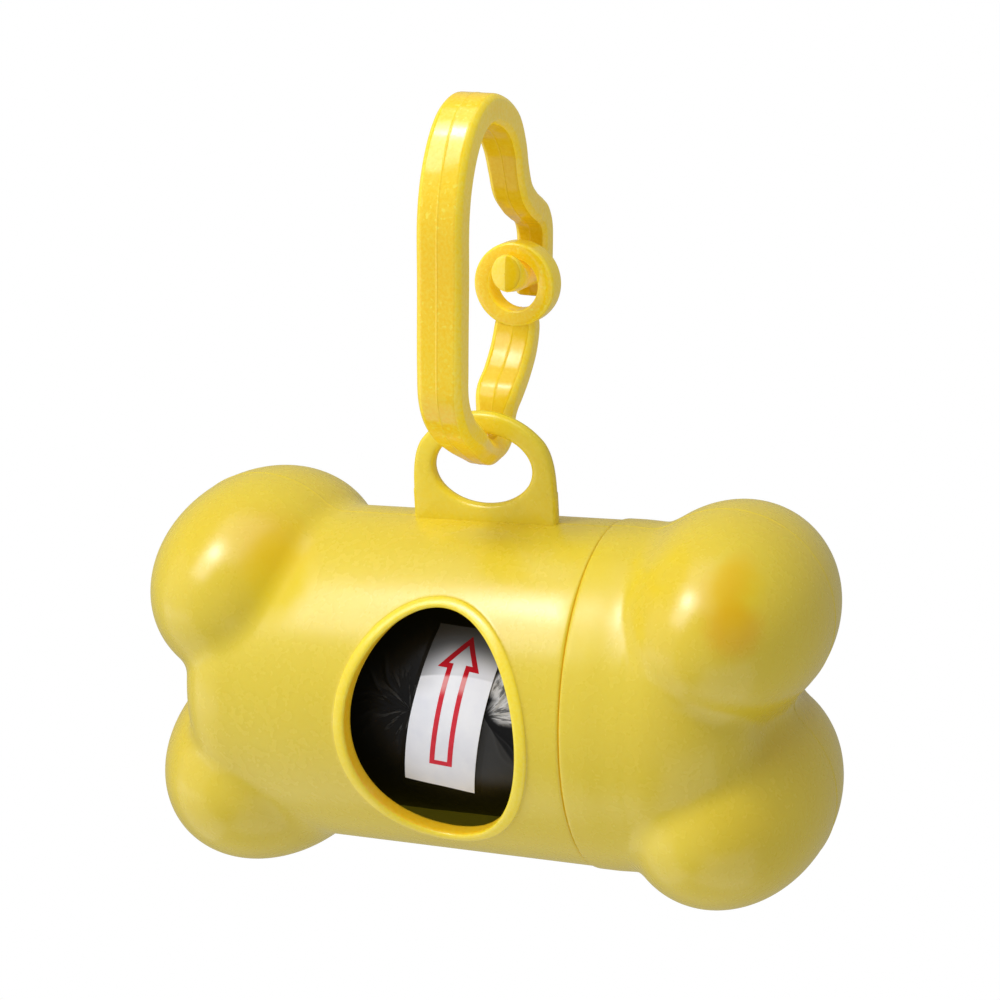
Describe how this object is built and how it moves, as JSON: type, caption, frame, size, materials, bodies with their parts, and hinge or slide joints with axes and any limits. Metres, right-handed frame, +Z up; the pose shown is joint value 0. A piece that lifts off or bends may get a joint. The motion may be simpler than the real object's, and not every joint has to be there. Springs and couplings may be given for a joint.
{
  "type": "waste bag dispenser",
  "caption": "Bone-shaped hanging dispenser for a roll of pet waste bags, with an oval pull window, a removable end cap and a moulded snap clip.",
  "frame": {"origin": "the point inside the clip's arch where the clip hangs from a leash or ring", "axes": "+Z up as it hangs, +X along the bone towards the end cap, -Y towards the side with the pull window"},
  "size_m": [0.0868, 0.0427, 0.0974],
  "materials": {
    "case_plastic": "satin moulded plastic with a fine grain",
    "clip_plastic": "glossy slightly translucent moulded plastic",
    "bag_film": "glossy thin film, wound and wrinkled",
    "core_board": "plain grey-brown board",
    "label_paper": "coated white paper with a plain red arrow"
  },
  "bodies": {
    "clip": {"clip_frame": "clip_plastic"},
    "gate": {"clip_gate": "clip_plastic"},
    "case": {"case_body": "case_plastic", "hanging_tab": "case_plastic"},
    "cap": {"end_cap": "case_plastic"},
    "roll": {"bag_roll": "bag_film", "roll_core": "core_board", "paper_label": "label_paper"}
  },
  "joints": [
    {"name": "case_swing", "type": "hinge", "parent": "clip", "child": "case", "pos_m": [-0.00275, 0.0042, -0.03925], "axis": [0, 1, 0], "range_deg": [-35, 35]},
    {"name": "gate_swing", "type": "hinge", "parent": "clip", "child": "gate", "pos_m": [-0.00264, 0.0079, -0.03776], "axis": [0.9976, 0, -0.0698], "range_deg": [0, 28], "stiffness_Nm_per_rad": 0.02},
    {"name": "cap_pull", "type": "slide", "parent": "case", "child": "cap", "axis": [1, 0, 0], "range_m": [0, 0.03]},
    {"name": "roll_spin", "type": "hinge", "parent": "case", "child": "roll", "pos_m": [-0.00275, 0.0042, -0.0692], "axis": [1, 0, 0], "continuous": true}
  ]
}
